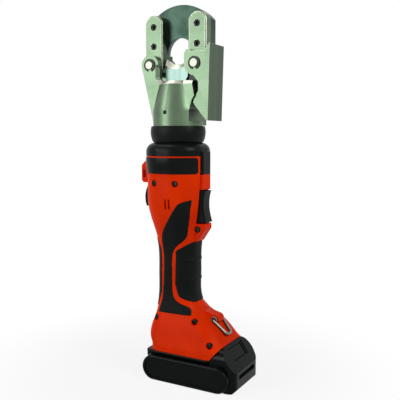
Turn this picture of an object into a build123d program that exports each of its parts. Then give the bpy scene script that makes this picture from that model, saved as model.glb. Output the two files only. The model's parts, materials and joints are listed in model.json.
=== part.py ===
"""Cordless hydraulic cable cutter with a flip-top shear head.

Millimetres. +Z runs up the ram axis, +X is the trigger side, and the pack's
flat underside lies on Z = 0. The head swivels on the ram axis. The blade frame
hinges on the rear pin and a swing latch holds it shut on the front pin.
Heights are chained from the pack upwards, so a change of one moves all above it.
"""
import os
from math import cos, radians, sin, sqrt

from build123d import *

os.makedirs("parts", exist_ok=True)

# Clearances
fit_slide = 0.15          # sliding faces, each side
fit_pin = 0.05            # running fit of a pin, on radius
fit_part = 0.3            # plain gap between two moving bodies
fit_seat = 0.05           # a piece lying in its seat
fit_slot = 0.5            # trigger and lever in their openings, each side

# Battery pack: round-ended body
pack_h = 26.4
pack_half_w = 36.0
pack_rear = -24.6
pack_front = 76.4
pack_edge = 1.8           # rounding of the side faces
pack_wall = 2.2
panel_rim = 3.6           # rim round the sunk side panels
panel_depth = 0.8
cell_r = 9.15
cell_len = 65.0
cell_pitch = 18.4
cell_count = 5
cell_first = 0.4          # first cell from the middle of the rear end
split_z = 19.0            # joint between the pack's two halves

# Battery pack: front block with the slope
block_half = 30.5
block_rear = 40.0
block_front = 81.5
block_corner = 9.0        # upright front corners
block_shoulder = 13.0     # upper corners, seen from the front
block_chin = 3.0          # chamfer under the front
ledge_h = 20.0            # height of the front's upright face
brow_x = 77.5             # foot of the slope
brow_h = 25.5
groove_h = 5.0            # finger groove across the front
groove_z = 14.6
groove_half = 18.5
groove_depth = 2.6

# Sliding tongue and rail
rail_t = 4.3              # rail plate under the foot
rail_rear = -23.4
rail_half = 31.0
rail_corner = 5.0
rail_round = 2.0          # rounded rear end
tongue_half = 17.0        # wide part above the rail
tongue_neck = 14.0        # narrow part between the rails
tongue_rear = -12.0
tongue_front = 50.0
tongue_t = 4.3            # thickness of the wide part
wedge_x = 53.5            # foot of the slanted seam between foot and pack
wedge_top_x = 64.2        # head of that seam
wedge_h = 12.8            # height of that seam
wedge_gap = 0.5

# Pack button
button_w = 28.0
button_h = 13.0
button_t = 3.5
button_sink = 1.5
button_travel = 2.0
button_round = 1.5
rim_w = 3.0               # shallow step round the button
rim_depth = 0.7

# Handle housing, two halves that meet on the XZ plane
wall = 2.6
foot_h = 57.0             # foot, from its underside to the grip
grip_h = 44.0             # even part of the grip
swell_h = 46.0            # from the grip out to the barrel
barrel_h = 58.0           # barrel round the pump
nose_half = 32.0          # nose, half depth and half width
nose_corner = 28.0
rubber = 0.6              # how far the rubber stands on the housing
label_lift = 0.5          # how far the label plate stands on the housing

# Levels
rail_z = pack_h + fit_part
foot_z = rail_z + rail_t
wedge_top_z = foot_z + wedge_h
grip_z = foot_z + foot_h
swell_z = grip_z + grip_h
barrel_z = swell_z + swell_h
nose_z = barrel_z + barrel_h

# Sections of the housing: height, rear, front, half width, corner radius
sections = [
    (foot_z, -21.2, 73.0, 31.5, 14.0),
    (foot_z + foot_h / 5, -23.3, 65.2, 30.0, 14.0),
    (foot_z + 2 * foot_h / 5, -24.3, 56.3, 27.3, 15.0),
    (foot_z + 3 * foot_h / 5, -21.8, 44.5, 24.0, 16.0),
    (foot_z + 4 * foot_h / 5, -20.6, 29.0, 20.6, 16.5),
    (grip_z, -20.2, 24.4, 18.9, 16.8),
    (grip_z + grip_h / 2, -20.0, 24.0, 18.6, 16.8),
    (swell_z, -20.0, 24.0, 18.6, 16.8),
    (swell_z + swell_h / 3, -21.3, 24.8, 20.4, 17.6),
    (swell_z + 2 * swell_h / 3, -25.4, 26.6, 24.3, 20.8),
    (barrel_z, -29.6, 28.6, 28.8, 25.0),
    (barrel_z + 0.45 * barrel_h, -31.0, 31.0, 31.1, 27.0),
    (barrel_z + 0.72 * barrel_h, -31.3, 31.6, 31.2, 27.4),
    (nose_z, -nose_half, nose_half, nose_half, nose_corner),
]

# Trigger, its guard and the rib above it
trigger_half = 8.0
trigger_pin_x = 27.0
trigger_pin_drop = 4.0    # pin below the roof of the opening
trigger_roof_z = barrel_z + 23.5
trigger_top = 1.2         # trigger below that roof
trigger_front = 36.4      # upper corner of its face
trigger_waist = 34.2      # hollow of its face
trigger_tip = 37.6        # lower corner of its face
trigger_len = 31.7
trigger_back = 24.2
trigger_edge = 2.2
guard_half = 9.0
guard_root = 19.0
guard_knee = 27.0
guard_front = 36.0
guard_z = barrel_z - 12.0     # top of the guard
guard_nose = 5.5              # height of its blunt nose
guard_drop = 19.0             # height of its root
guard_round = 1.8
guard_edge = 2.0
rib_root = 20.0
rib_front = 34.6
rib_edge = 1.5
control_pin_r = 1.5
cheek_t = 2.4             # cheeks that carry the control pins
cheek_r = 4.0

# Pressure release lever at the back
lever_half = 6.0
lever_pin_x = -27.5
lever_pin_z = barrel_z + 22.5
lever_roof_z = lever_pin_z + 4.5
lever_floor_z = lever_pin_z - 20.5
lever_top = 1.2           # lever below its roof
lever_out_top = -35.5     # outer face at its top
lever_out = -39.3         # outer face at its middle
lever_out_low = -37.5     # outer face at its lower end
lever_in = -28.6          # inner face
lever_root = -24.8        # inner face behind the pin
lever_step = 4.0          # step of the inner face below the pin
lever_edge = 1.5

# Rear eyelet tab
tab_half = 4.0
tab_root = -28.0
tab_x = -45.0
tab_top_z = nose_z - 6.5
tab_low_z = nose_z - 29.5
tab_slope = 5.0           # bevelled upper corner
tab_toe = 3.0             # bevelled lower corner
tab_edge = 1.0
eye_len = 9.0
eye_w = 3.6
eye_x = -41.0
eye_z = nose_z - 20.0

# Lanyard bail: one bent wire in a boss on the front slope
bail_r = 1.5              # wire
bail_pin_x = 47.0
bail_pin_z = foot_z + 35.0
bail_half = 9.3           # half spread at the pivot
bail_end_half = 5.0       # half spread at the far end
bail_len = 20.0
bail_angle = 44.0         # how steeply it hangs
bail_in = 3.2             # inner ends of the wire
bail_bend = 1.9           # bends at the pivot
bail_end_bend = 4.4       # bends at the far end
boss_half = 6.0           # boss that carries the bail
bail_boss_r = 5.0
boss_root_x = 36.0
boss_root_drop = 2.0
boss_root_r = 9.5

# Housing screws: x, z of each, all entering from the near side
housing_screws_at = [
    (-11.3, nose_z - 28.0), (12.8, nose_z - 28.0), (32.0, foot_z + 34.5), (-15.0, foot_z + 33.0),
    (52.3, foot_z + 14.0),
]
screw_boss_r = 4.0
screw_recess_r = 3.5
screw_recess = 4.0        # depth of each recess
screw_reach = 10.0        # screws past the parting plane
small_head_r = 2.6
small_head_h = 2.2
small_shank_r = 1.5
guard_screw_x = 28.2
guard_screw_z = guard_z - 6.2
guard_screw_recess = 2.5

# Vents
vent_x = 4.2
vent_z = barrel_z + 9.0
vent_pitch = 4.1
vent_len = 11.0
vent_w = 1.9

# Outlines of the rubber: X and height of each corner
side_grip_at = [
    (14.8, barrel_z + 10.3), (25.4, barrel_z + 16.3), (20.0, barrel_z - 21.5), (4.2, swell_z + 7.5),
    (3.2, grip_z + 9.5), (20.5, grip_z - 8.0), (24.0, grip_z - 15.5), (-13.5, grip_z - 15.5),
    (-6.5, grip_z - 4.0), (-5.0, grip_z + 12.0), (-5.0, swell_z + 13.0), (-8.7, swell_z + 21.0),
    (-0.4, barrel_z - 10.0),
]
side_grip_bend = 4        # corner that turns round the front grip
front_grip_at = [
    (40.0, swell_z + 12.0), (23.0, swell_z + 14.2), (8.0, swell_z + 5.0), (7.0, grip_z + 10.5),
    (24.0, grip_z - 5.0), (40.0, grip_z - 8.0),
]
front_grip_bend = 3
back_strap_at = [
    (-40.0, swell_z + 20.0), (-18.0, swell_z + 16.0), (-11.0, swell_z + 6.0), (-11.0, grip_z + 4.0),
    (-17.0, grip_z - 12.0), (-40.0, grip_z - 14.0),
]
rubber_corner = 1.6       # corners of the rubber
strap_corner = 3.0
bend_r = 11.0             # the large bend of the front grip
stripe = 3.9              # stripe of housing between the grips

# Bare label plate on the near side
label_z = nose_z - 9.8
label_w = 61.2
label_h = 16.6
label_corner = 1.6

# Nose cover and head joint
nose_h = 13.7
nose_round = 9.4          # rounded shoulder
cover_lift = 0.4          # cover past the housing
tongue_h = 19.0           # front tongue, below the housing's top
head_gap = 0.6            # turning gap under the collar
neck_r = 19.8             # swivel neck of the head
neck_flange_r = 23.0      # flange that keeps the neck in the nose
neck_flange_h = 7.0
spigot_h = 1.7            # neck inside the bore
collar_r = 29.0           # rubber collar, widest
collar_low_r = 26.6
collar_top_r = 28.2
collar_h = 16.5
collar_belly = 9.0        # height of the widest place

# Head: fork, cylinder and ram
plane_shift = 4.3         # blade frame's mid plane behind the ram axis
yoke_base_r = 26.3        # round base of the fork
yoke_top_r = 19.8         # cone at the fork's top
yoke_taper = 31.7         # height of the round base
yoke_bevel = 3.4          # bright bevel along the fork's top
fork_wall = 7.6
fork_foot_half = 21.5     # half width of the fork walls where they leave the base
fork_foot_gap = 1.0       # fork walls above the collar
fork_kink = 2.0           # fork walls stay even this far above the base
ear_r = 10.3              # rounded hinge ear
ear_blend = 5.0           # rounding between fork and ear
bore_r = 17.0
rod_r = 10.8
piston_h = 8.0
stroke = 28.0
bore_spare = 7.7          # bore past the piston's travel
gland_t = 7.0             # end of the bore to the floor between the fork walls
fork_h = 10.0             # fork walls above that floor
lug_x = 27.0              # nose of the fork that the latch hooks under
lug_drop = 15.7           # that nose below the fork's top
lug_chin = 2.8
lug_chin_drop = 3.9
lug_brow = 3.0
set_screw_rise = 30.2     # set screw above the collar's underside
set_screw_r = 2.15
set_screw_len = 5.0
set_screw_sink = 1.5
seal_r = 14.5             # bottom of the seal groove
seal_h = 3.0

# Blade frame
pin_x = 26.0              # both pins, from the ram axis
pin_rise = 17.0           # both pins above the fork's top
hinge_pin_r = 4.3
latch_pin_r = 4.5
arm_half_w = 10.5
arm_half_t = 10.5
arm_len = 52.0            # arms above the pins
arm_corner = 9.4          # corner radius at the arms' top
arm_edge = 1.2            # chamfer round an arm's front face
rabbet_rise = 11.5        # seat of the upper blade above the pins
arch_r = 47.6             # outline of the upper blade
arch_rise = 14.5          # its centre above the pins
throat_rise = 13.0        # centre of the round throat above the pins
throat_bevel = 2.6        # bevel behind the upper blade's edge
throat_bevel_depth = 8.0
throat_taper = 14.0
screw_rise = 20.0         # lower blade screws above the pins
screw_pitch = 20.0
screw_head_r = 3.6
screw_head_h = 4.2
screw_sink = 1.0          # heads below the arm's face
screw_shank_r = 2.3
screw_grip = 7.0          # thread in the blade
socket_r = 2.2
socket_depth = 2.2
clip_r = 6.6              # pin clips
clip_t = 1.1
clip_gap = 4.4
clip_edge = 1.0           # pin end outside the clip

# Lower blade
rod_drop = 19.0           # top of the rod below the pins
blade_in_rod = 12.0       # blade's foot in the rod
blade_half_w = 13.5
blade_foot_half = 9.6
blade_t = 7.3             # thickness, its back face on the shear plane
blade_gap = 0.1           # from the shear plane
horn_rise = 7.0           # tips above the pins
hollow = 6.5              # depth of the hollow edge
blade_flare = 12.0        # pins above the place where the blade is full width
blade_flare_h = 6.0
blade_bevel = 4.6         # ground bevel, on the face
blade_bevel_t = 3.0       # ground bevel, across the thickness
blade_pin_r = 2.5
blade_pin_rise = 6.0      # blade pin above the blade's foot

# Latch
latch_wall = 5.2          # side walls
latch_spine = 3.0         # back of the latch
latch_boss_r = 12.2
latch_top = 18.7          # thumb tip above the pins
latch_lip = 11.6          # top edge of the side walls above the pins
latch_low = 58.0          # lower end below the pins
latch_out_top = 43.5      # outer face of the spine at its top
latch_out_low = 41.2      # outer face of the spine at its lower end
latch_neck_x = 30.4       # inner edge between hook and boss
latch_neck = 19.0         # top of that edge below the pins
latch_horn = 14.0         # small horn above the boss
latch_horn_w = 3.1
latch_scoop_x = 37.0      # outer end of the scoop under the thumb tip
latch_tip = 0.9
latch_toe = 1.6
hook_x = 24.8             # tip of the hook
hook_low = 40.2           # lower corner of the hook below the pins
hook_tip = 3.0
hook_gap = 0.6            # hook from the fork's nose
hook_low_angle = 36.0     # hook's arc about the hinge pin
hook_mid_angle = 31.0
hook_top_angle = 26.2

# Motor, reduction gear, pump and what belongs to them
drive_x = 2.0
drive_r = 14.5
motor_drop = 12.0         # motor's lower end below the grip
motor_h = 52.0
motor_chamfer = 1.5
motor_tail_r = 5.0
motor_tail = 6.0
motor_ribs = (0.0, 28.0)  # ribs that hold the motor, above the foot's top
rib_t = 2.4
gear_r = 14.0
gear_h = 30.0
pump_x = -5.0
pump_len = 24.0
pump_half = 14.0
pump_corner = 6.0
pump_h = 42.0
pipe_r = 3.5
bladder_r = 24.0
bladder_round = 4.0
bladder_rise = 12.3       # bladder above the pump
bladder_gap = 2.0         # bladder below the neck
valve_drop = 8.0          # valve below the pump's top
valve_r = 4.0
valve_len = 10.0
switch_drop = 14.0        # switch below the pump's top
switch_half = 8.0
switch_h = 24.0
switch_t = 11.0
plunger_drop = 8.0
plunger_r = 2.5
plunger_len = 3.5

# Terminals and board
terminal_t = 5.0
terminal_half = 14.0
board_rise = 8.5          # board above the foot's underside
board_len = 46.0
board_half = 16.0
board_t = 1.6

# Values that follow from the ones above
trigger_slot = trigger_half + fit_slot
trigger_pin_z = trigger_roof_z - trigger_pin_drop
lever_slot = lever_half + fit_slot
tongue_top_z = foot_z + fit_part + tongue_t
tongue_low_z = nose_z - tongue_h
nose_top_z = nose_z + nose_h
collar_z = nose_top_z + head_gap
neck_z = nose_z - neck_flange_h
neck_top_z = collar_z + spigot_h
piston_z = neck_top_z + fit_part
bore_top_z = piston_z + piston_h + stroke + bore_spare
slot_floor_z = bore_top_z + gland_t
yoke_taper_z = collar_z + yoke_taper
yoke_top_z = slot_floor_z + fork_h
lug_z = yoke_top_z - lug_drop
set_screw_z = collar_z + set_screw_rise
pin_z = yoke_top_z + pin_rise
rabbet_z = pin_z + rabbet_rise
throat_z = pin_z + throat_rise
screws_z = pin_z + screw_rise + screw_pitch / 2
rod_top_z = pin_z - rod_drop
blade_foot_z = rod_top_z - blade_in_rod
blade_pin_z = blade_foot_z + blade_pin_rise
blade_horn_z = pin_z + horn_rise
blade_wide_z = pin_z - blade_flare
motor_z = grip_z - motor_drop
gear_z = motor_z + motor_h
pump_z = gear_z + gear_h
pump_top_z = pump_z + pump_h
bladder_z = pump_top_z + bladder_rise
board_z = foot_z + board_rise
shear_y = plane_shift                       # plane between the two blades
arm_front_y = plane_shift - arm_half_t
arm_back_y = plane_shift + arm_half_t
slot_front_y = arm_front_y - fit_slide
slot_back_y = arm_back_y + fit_slide
fork_front_y = slot_front_y - fork_wall
fork_back_y = slot_back_y + fork_wall
latch_front_y = slot_front_y - latch_wall
latch_back_y = slot_back_y + latch_wall
clip_front_y = latch_front_y - fit_slide    # inner faces of the latch pin's clips
clip_back_y = latch_back_y + fit_slide
blade_back_y = shear_y - blade_gap
pack_end_r = pack_h / 2
arm_in_x = pin_x - arm_half_w               # inner faces of the arms
arm_out_x = pin_x + arm_half_w
latch_in_x = pin_x - latch_boss_r
hook_reach = sqrt((pin_x + lug_x) ** 2 + (pin_z - lug_z) ** 2) + hook_gap
slope_top_x = wedge_top_x + wedge_gap
slope_top_z = wedge_top_z - fit_part
slope_len = sqrt((brow_x - slope_top_x) ** 2 + (slope_top_z - brow_h) ** 2)
slope_plane = Plane(
    origin=((brow_x + slope_top_x) / 2, 0, (brow_h + slope_top_z) / 2),
    x_dir=(0, 1, 0),
    z_dir=((slope_top_z - brow_h) / slope_len, 0, (brow_x - slope_top_x) / slope_len),
)
bail_dx = bail_len * cos(radians(bail_angle))
bail_dz = bail_len * sin(radians(bail_angle))
blade_pin_half = sqrt(rod_r ** 2 - blade_pin_r ** 2) - fit_part
far = 200.0                                 # reach of cutting tools


def form(grow):
    """Form of the housing, grown or shrunk by an even amount."""
    with BuildPart() as body:
        for height, rear, front, half, corner in sections:
            with BuildSketch(Plane.XY.offset(height)):
                with Locations(((rear + front) / 2, 0)):
                    RectangleRounded(front - rear + 2 * grow, 2 * half + 2 * grow, corner + grow)
        loft()
    return body.part


def half_at(x, z):
    """Half width of the housing at a place on its side."""
    for low, high in zip(sections, sections[1:]):
        if low[0] <= z <= high[0]:
            share = (z - low[0]) / (high[0] - low[0])
            rear, front, half, corner = [a + (b - a) * share for a, b in zip(low[1:], high[1:])]
            past = max(rear + corner - x, x - front + corner, 0)
            return half - corner + sqrt(corner ** 2 - past ** 2)
    return 0


def y_plane(y):
    """Plane across Y whose sketches are seen with X to the right and Z up."""
    return Plane.XZ.offset(-y)


base_form = form(0)
mid_form = form(-wall / 2)
cavity_form = form(-wall)
rubber_form = form(rubber)
label_form = form(label_lift)

# Screws of the housing: x, z, seat of the head and reach past the parting plane
screw_seats = [(x, z, half_at(x, z) - screw_recess, screw_reach) for x, z in housing_screws_at]
screw_seats.append((guard_screw_x, guard_screw_z, guard_half - guard_screw_recess, guard_half - wall))

# Nose of the trigger guard
with BuildPart() as guard_tool:
    with BuildSketch(y_plane(guard_half)):
        with BuildLine():
            Polyline(
                (guard_root, guard_z), (guard_front, guard_z), (guard_front, guard_z - guard_nose),
                (guard_knee, guard_z - guard_drop), (guard_root, guard_z - guard_drop), close=True,
            )
        make_face()
        fillet(vertices().group_by(Axis.X)[-1], guard_round)
    extrude(amount=2 * guard_half)
    fillet(guard_tool.faces().filter_by(Axis.Y).edges().filter_by(lambda e: e.center().X > guard_knee), guard_edge)

# Rear eyelet tab
with BuildPart() as tab_tool:
    with BuildSketch(y_plane(tab_half)):
        with BuildLine():
            Polyline(
                (tab_root, tab_top_z), (tab_x + tab_slope, tab_top_z), (tab_x, tab_top_z - tab_slope),
                (tab_x, tab_low_z + tab_toe), (tab_x + tab_toe, tab_low_z), (tab_root, tab_low_z), close=True,
            )
        make_face()
        with Locations((eye_x, eye_z)):
            SlotOverall(eye_len, eye_w, rotation=90, mode=Mode.SUBTRACT)
    extrude(amount=2 * tab_half)
    chamfer(tab_tool.faces().filter_by(Axis.Y).edges().group_by(Axis.X)[0], tab_edge)

# Boss for the lanyard bail on the front slope
with BuildPart() as bail_boss_tool:
    with BuildSketch(y_plane(boss_half)):
        with Locations((bail_pin_x, bail_pin_z)):
            Circle(bail_boss_r)
        with Locations((boss_root_x, bail_pin_z - boss_root_drop)):
            Circle(boss_root_r)
        make_hull()
        with Locations((bail_pin_x, bail_pin_z)):
            Circle(bail_r + fit_pin, mode=Mode.SUBTRACT)
    extrude(amount=2 * boss_half)

# Housing halves, made whole and parted on the XZ plane
with BuildPart() as housing:
    add(base_form)
    add(guard_tool.part)
    add(tab_tool.part)
    # rib over the trigger
    with BuildSketch(Plane.XY.offset(trigger_roof_z)):
        with Locations(((rib_root + rib_front) / 2, 0)):
            Rectangle(rib_front - rib_root, 2 * trigger_slot)
        fillet(vertices().group_by(Axis.X)[-1], rib_edge)
    extrude(amount=tongue_low_z - trigger_roof_z)
    add(cavity_form, mode=Mode.SUBTRACT)
    add(bail_boss_tool.part)
    # ribs that hold the motor
    with BuildSketch(*[Plane.XY.offset(grip_z + rise) for rise in motor_ribs]):
        Rectangle(far, far)
        with Locations((drive_x, 0)):
            Circle(drive_r + fit_seat, mode=Mode.SUBTRACT)
    ribs = extrude(amount=rib_t, mode=Mode.PRIVATE)
    # screw bosses from side to side
    with BuildSketch(Plane.XZ):
        with Locations(*housing_screws_at):
            Circle(screw_boss_r)
    bosses = extrude(amount=far / 4, both=True, mode=Mode.PRIVATE)
    # cheeks that carry the trigger pin and the lever pin
    with BuildSketch(*[y_plane(y) for y in (trigger_slot + cheek_t, -trigger_slot)]):
        with Locations((trigger_pin_x, trigger_pin_z)):
            Rectangle(3 * cheek_r, 2 * cheek_r)
    trigger_cheeks = extrude(amount=cheek_t, mode=Mode.PRIVATE)
    with BuildSketch(*[y_plane(y) for y in (lever_slot + cheek_t, -lever_slot)]):
        with Locations((lever_pin_x, lever_pin_z)):
            Rectangle(3 * cheek_r, 2 * cheek_r)
    lever_cheeks = extrude(amount=cheek_t, mode=Mode.PRIVATE)
    add((ribs + bosses + trigger_cheeks + lever_cheeks) & mid_form)
    # opening for the trigger
    with BuildSketch(y_plane(trigger_slot)):
        with Locations((trigger_pin_x + far / 2 - 3 * cheek_r, (guard_z + trigger_roof_z) / 2)):
            Rectangle(far, trigger_roof_z - guard_z)
    extrude(amount=2 * trigger_slot, mode=Mode.SUBTRACT)
    # opening for the release lever
    with BuildSketch(y_plane(lever_slot)):
        with Locations((lever_pin_x - far / 2 + 2 * cheek_r, (lever_floor_z + lever_roof_z) / 2)):
            Rectangle(far, lever_roof_z - lever_floor_z)
    extrude(amount=2 * lever_slot, mode=Mode.SUBTRACT)
    # the pack's wedge under the front of the foot, and the way in for its tongue
    with BuildSketch(y_plane(far / 2)):
        with BuildLine():
            Polyline(
                (wedge_x, 0), (wedge_x, foot_z), (wedge_top_x, wedge_top_z),
                (far, wedge_top_z), (far, 0), close=True,
            )
        make_face()
    extrude(amount=far, mode=Mode.SUBTRACT)
    with BuildSketch(Plane.XY):
        with Locations((tongue_rear - fit_part + far / 2, 0)):
            Rectangle(far, 2 * (tongue_half + fit_part))
    extrude(amount=tongue_top_z + fit_part, mode=Mode.SUBTRACT)
    # holes of the control pins
    with BuildSketch(y_plane(trigger_slot + cheek_t)):
        with Locations((trigger_pin_x, trigger_pin_z)):
            Circle(control_pin_r)
    extrude(amount=2 * (trigger_slot + cheek_t), mode=Mode.SUBTRACT)
    with BuildSketch(y_plane(lever_slot + cheek_t)):
        with Locations((lever_pin_x, lever_pin_z)):
            Circle(control_pin_r)
    extrude(amount=2 * (lever_slot + cheek_t), mode=Mode.SUBTRACT)
    # two vent slots on each side
    with BuildSketch(Plane.XZ):
        with GridLocations(vent_pitch, 0, 2, 1):
            with Locations((vent_x, vent_z)):
                SlotOverall(vent_len, vent_w, rotation=90)
    extrude(amount=far / 4, both=True, mode=Mode.SUBTRACT)
    # recesses and holes of the housing screws
    for x, z, seat, reach in screw_seats:
        with BuildSketch(y_plane(-seat)):
            with Locations((x, z)):
                Circle(screw_recess_r)
        extrude(amount=far / 4, mode=Mode.SUBTRACT)
        with BuildSketch(y_plane(reach)):
            with Locations((x, z)):
                Circle(small_shank_r)
        extrude(amount=seat + reach, mode=Mode.SUBTRACT)

with BuildPart() as near_shell:
    add(housing.part)
    split(bisect_by=Plane.XZ, keep=Keep.TOP)
near_shell.part.label = "near_shell"
export_step(near_shell.part, "parts/near_shell.step")

with BuildPart() as far_shell:
    add(housing.part)
    split(bisect_by=Plane.XZ, keep=Keep.BOTTOM)
far_shell.part.label = "far_shell"
export_step(far_shell.part, "parts/far_shell.step")

with BuildPart() as housing_screws:
    for x, z, seat, reach in screw_seats:
        with BuildSketch(y_plane(-seat)):
            with Locations((x, z)):
                Circle(small_head_r)
        extrude(amount=small_head_h)
        with BuildSketch(y_plane(reach)):
            with Locations((x, z)):
                Circle(small_shank_r)
        extrude(amount=seat + reach)
housing_screws.part.label = "housing_screws"
export_step(housing_screws.part, "parts/housing_screws.step")

# Rubber of the grip
with BuildPart() as side_grip_near:
    with BuildSketch(Plane.XZ):
        with BuildLine():
            Polyline(*side_grip_at, close=True)
        make_face()
        bend = vertices().sort_by_distance(side_grip_at[side_grip_bend])[0]
        fillet(vertices().filter_by(lambda v: v != bend), rubber_corner)
        fillet(vertices().sort_by_distance(side_grip_at[side_grip_bend])[0], bend_r + stripe)
    extrude(amount=far / 2)
    add(rubber_form, mode=Mode.INTERSECT)
    add(base_form, mode=Mode.SUBTRACT)
side_grip_near.part.label = "side_grip_near"
export_step(side_grip_near.part, "parts/side_grip_near.step")

with BuildPart() as side_grip_far:
    mirror(side_grip_near.part, about=Plane.XZ)
side_grip_far.part.label = "side_grip_far"
export_step(side_grip_far.part, "parts/side_grip_far.step")

with BuildPart() as front_grip:
    with BuildSketch(Plane.XZ):
        with BuildLine():
            Polyline(*front_grip_at, close=True)
        make_face()
        fillet(vertices().sort_by_distance(front_grip_at[front_grip_bend])[0], bend_r)
        fillet(vertices().sort_by_distance(front_grip_at[front_grip_bend - 1])[0], strap_corner)
    extrude(amount=far / 2, both=True)
    add(rubber_form, mode=Mode.INTERSECT)
    add(base_form, mode=Mode.SUBTRACT)
front_grip.part.label = "front_grip"
export_step(front_grip.part, "parts/front_grip.step")

with BuildPart() as back_strap:
    with BuildSketch(Plane.XZ):
        with BuildLine():
            Polyline(*back_strap_at, close=True)
        make_face()
        fillet(vertices().group_by(Axis.X)[-1], strap_corner)
    extrude(amount=far / 2, both=True)
    add(rubber_form, mode=Mode.INTERSECT)
    add(base_form, mode=Mode.SUBTRACT)
back_strap.part.label = "back_strap"
export_step(back_strap.part, "parts/back_strap.step")

# Bare label plate on the near side, ending beside the front tongue
with BuildPart() as label_plate:
    with BuildSketch(Plane.XZ):
        with Locations((0, label_z)):
            RectangleRounded(label_w, label_h, label_corner)
    extrude(amount=far / 2)
    add(label_form, mode=Mode.INTERSECT)
    add(base_form, mode=Mode.SUBTRACT)
label_plate.part.label = "label_plate"
export_step(label_plate.part, "parts/label_plate.step")

# Nose cover with its tongue down the front
with BuildPart() as tongue_tool:
    with BuildSketch(Plane.XY.offset(tongue_low_z)):
        with Locations(((rib_root + rib_front) / 2, 0)):
            Rectangle(rib_front - rib_root, 2 * trigger_slot)
        fillet(vertices().group_by(Axis.X)[-1], rib_edge)
    extrude(amount=tongue_h)
    add(base_form, mode=Mode.SUBTRACT)

with BuildPart() as nose_cover:
    with BuildSketch(Plane.XY.offset(nose_z)):
        RectangleRounded(2 * (nose_half + cover_lift), 2 * (nose_half + cover_lift), nose_corner + cover_lift)
    extrude(amount=nose_h)
    fillet(nose_cover.edges().group_by(Axis.Z)[-1], nose_round)
    with BuildSketch(Plane.XY.offset(nose_z)):
        with Locations(((rib_root + rib_front) / 2, 0)):
            Rectangle(rib_front - rib_root, 2 * trigger_slot)
        fillet(vertices().group_by(Axis.X)[-1], rib_edge)
    extrude(amount=nose_h - nose_round)
    add(tongue_tool.part)
    with BuildSketch(Plane.XY.offset(nose_z)):
        Circle(neck_r + fit_part)
    extrude(amount=far, mode=Mode.SUBTRACT)
nose_cover.part.label = "nose_cover"
export_step(nose_cover.part, "parts/nose_cover.step")

# Battery rail under the foot
with BuildPart() as battery_rail:
    with BuildSketch(Plane.XY.offset(rail_z)):
        with Locations(((rail_rear + wedge_x) / 2, 0)):
            RectangleRounded(wedge_x - rail_rear, 2 * rail_half, rail_corner)
    extrude(amount=rail_t)
    fillet(battery_rail.edges().filter_by(Axis.Y).group_by(Axis.X)[0], rail_round)
    with BuildSketch(Plane.XY.offset(rail_z)):
        with Locations((tongue_rear - fit_part + far / 2, 0)):
            Rectangle(far, 2 * (tongue_neck + fit_part))
    extrude(amount=rail_t, mode=Mode.SUBTRACT)
battery_rail.part.label = "battery_rail"
export_step(battery_rail.part, "parts/battery_rail.step")

with BuildPart() as terminal_block:
    with BuildSketch(Plane.XY.offset(foot_z)):
        with Locations((tongue_rear - fit_part - terminal_t / 2, 0)):
            Rectangle(terminal_t, 2 * terminal_half)
    extrude(amount=board_rise)
terminal_block.part.label = "terminal_block"
export_step(terminal_block.part, "parts/terminal_block.step")

with BuildPart() as control_board:
    with BuildSketch(Plane.XY.offset(board_z)):
        with Locations((tongue_rear - fit_part - terminal_t + board_len / 2, 0)):
            Rectangle(board_len, 2 * board_half)
    extrude(amount=board_t)
control_board.part.label = "control_board"
export_step(control_board.part, "parts/control_board.step")

# Drive: motor, reduction gear, pump and its valve
with BuildPart() as motor:
    with BuildSketch(Plane.XY.offset(motor_z)):
        with Locations((drive_x, 0)):
            Circle(drive_r)
    extrude(amount=motor_h)
    chamfer(motor.edges().group_by(Axis.Z)[0], motor_chamfer)
    with BuildSketch(Plane.XY.offset(motor_z)):
        with Locations((drive_x, 0)):
            Circle(motor_tail_r)
    extrude(amount=-motor_tail)
motor.part.label = "motor"
export_step(motor.part, "parts/motor.step")

with BuildPart() as gearbox:
    with BuildSketch(Plane.XY.offset(gear_z)):
        with Locations((drive_x, 0)):
            Circle(gear_r)
    extrude(amount=gear_h)
    chamfer(gearbox.edges().group_by(Axis.Z)[-1], motor_chamfer)
gearbox.part.label = "gearbox"
export_step(gearbox.part, "parts/gearbox.step")

with BuildPart() as pump_block:
    with BuildSketch(Plane.XY.offset(pump_z)):
        with Locations((pump_x, 0)):
            RectangleRounded(pump_len, 2 * pump_half, pump_corner)
    extrude(amount=pump_h)
pump_block.part.label = "pump_block"
export_step(pump_block.part, "parts/pump_block.step")

with BuildPart() as pressure_pipe:
    with BuildSketch(Plane.XY.offset(pump_top_z)):
        with Locations((drive_x, 0)):
            Circle(pipe_r)
    extrude(amount=neck_z - fit_part - pump_top_z)
pressure_pipe.part.label = "pressure_pipe"
export_step(pressure_pipe.part, "parts/pressure_pipe.step")

with BuildPart() as oil_bladder:
    with BuildSketch(Plane.XY.offset(bladder_z)):
        with Locations((drive_x, 0)):
            Circle(bladder_r)
            Circle(pipe_r + fit_seat, mode=Mode.SUBTRACT)
    extrude(amount=neck_z - bladder_z - bladder_gap)
    chamfer(oil_bladder.edges().group_by(Axis.Z)[-1].sort_by(SortBy.LENGTH)[-1], bladder_round)
oil_bladder.part.label = "oil_bladder"
export_step(oil_bladder.part, "parts/oil_bladder.step")

with BuildPart() as release_valve:
    with BuildSketch(Plane.YZ.offset(pump_x - pump_len / 2)):
        with Locations((0, pump_top_z - valve_drop)):
            Circle(valve_r)
    extrude(amount=-valve_len)
release_valve.part.label = "release_valve"
export_step(release_valve.part, "parts/release_valve.step")

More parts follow.
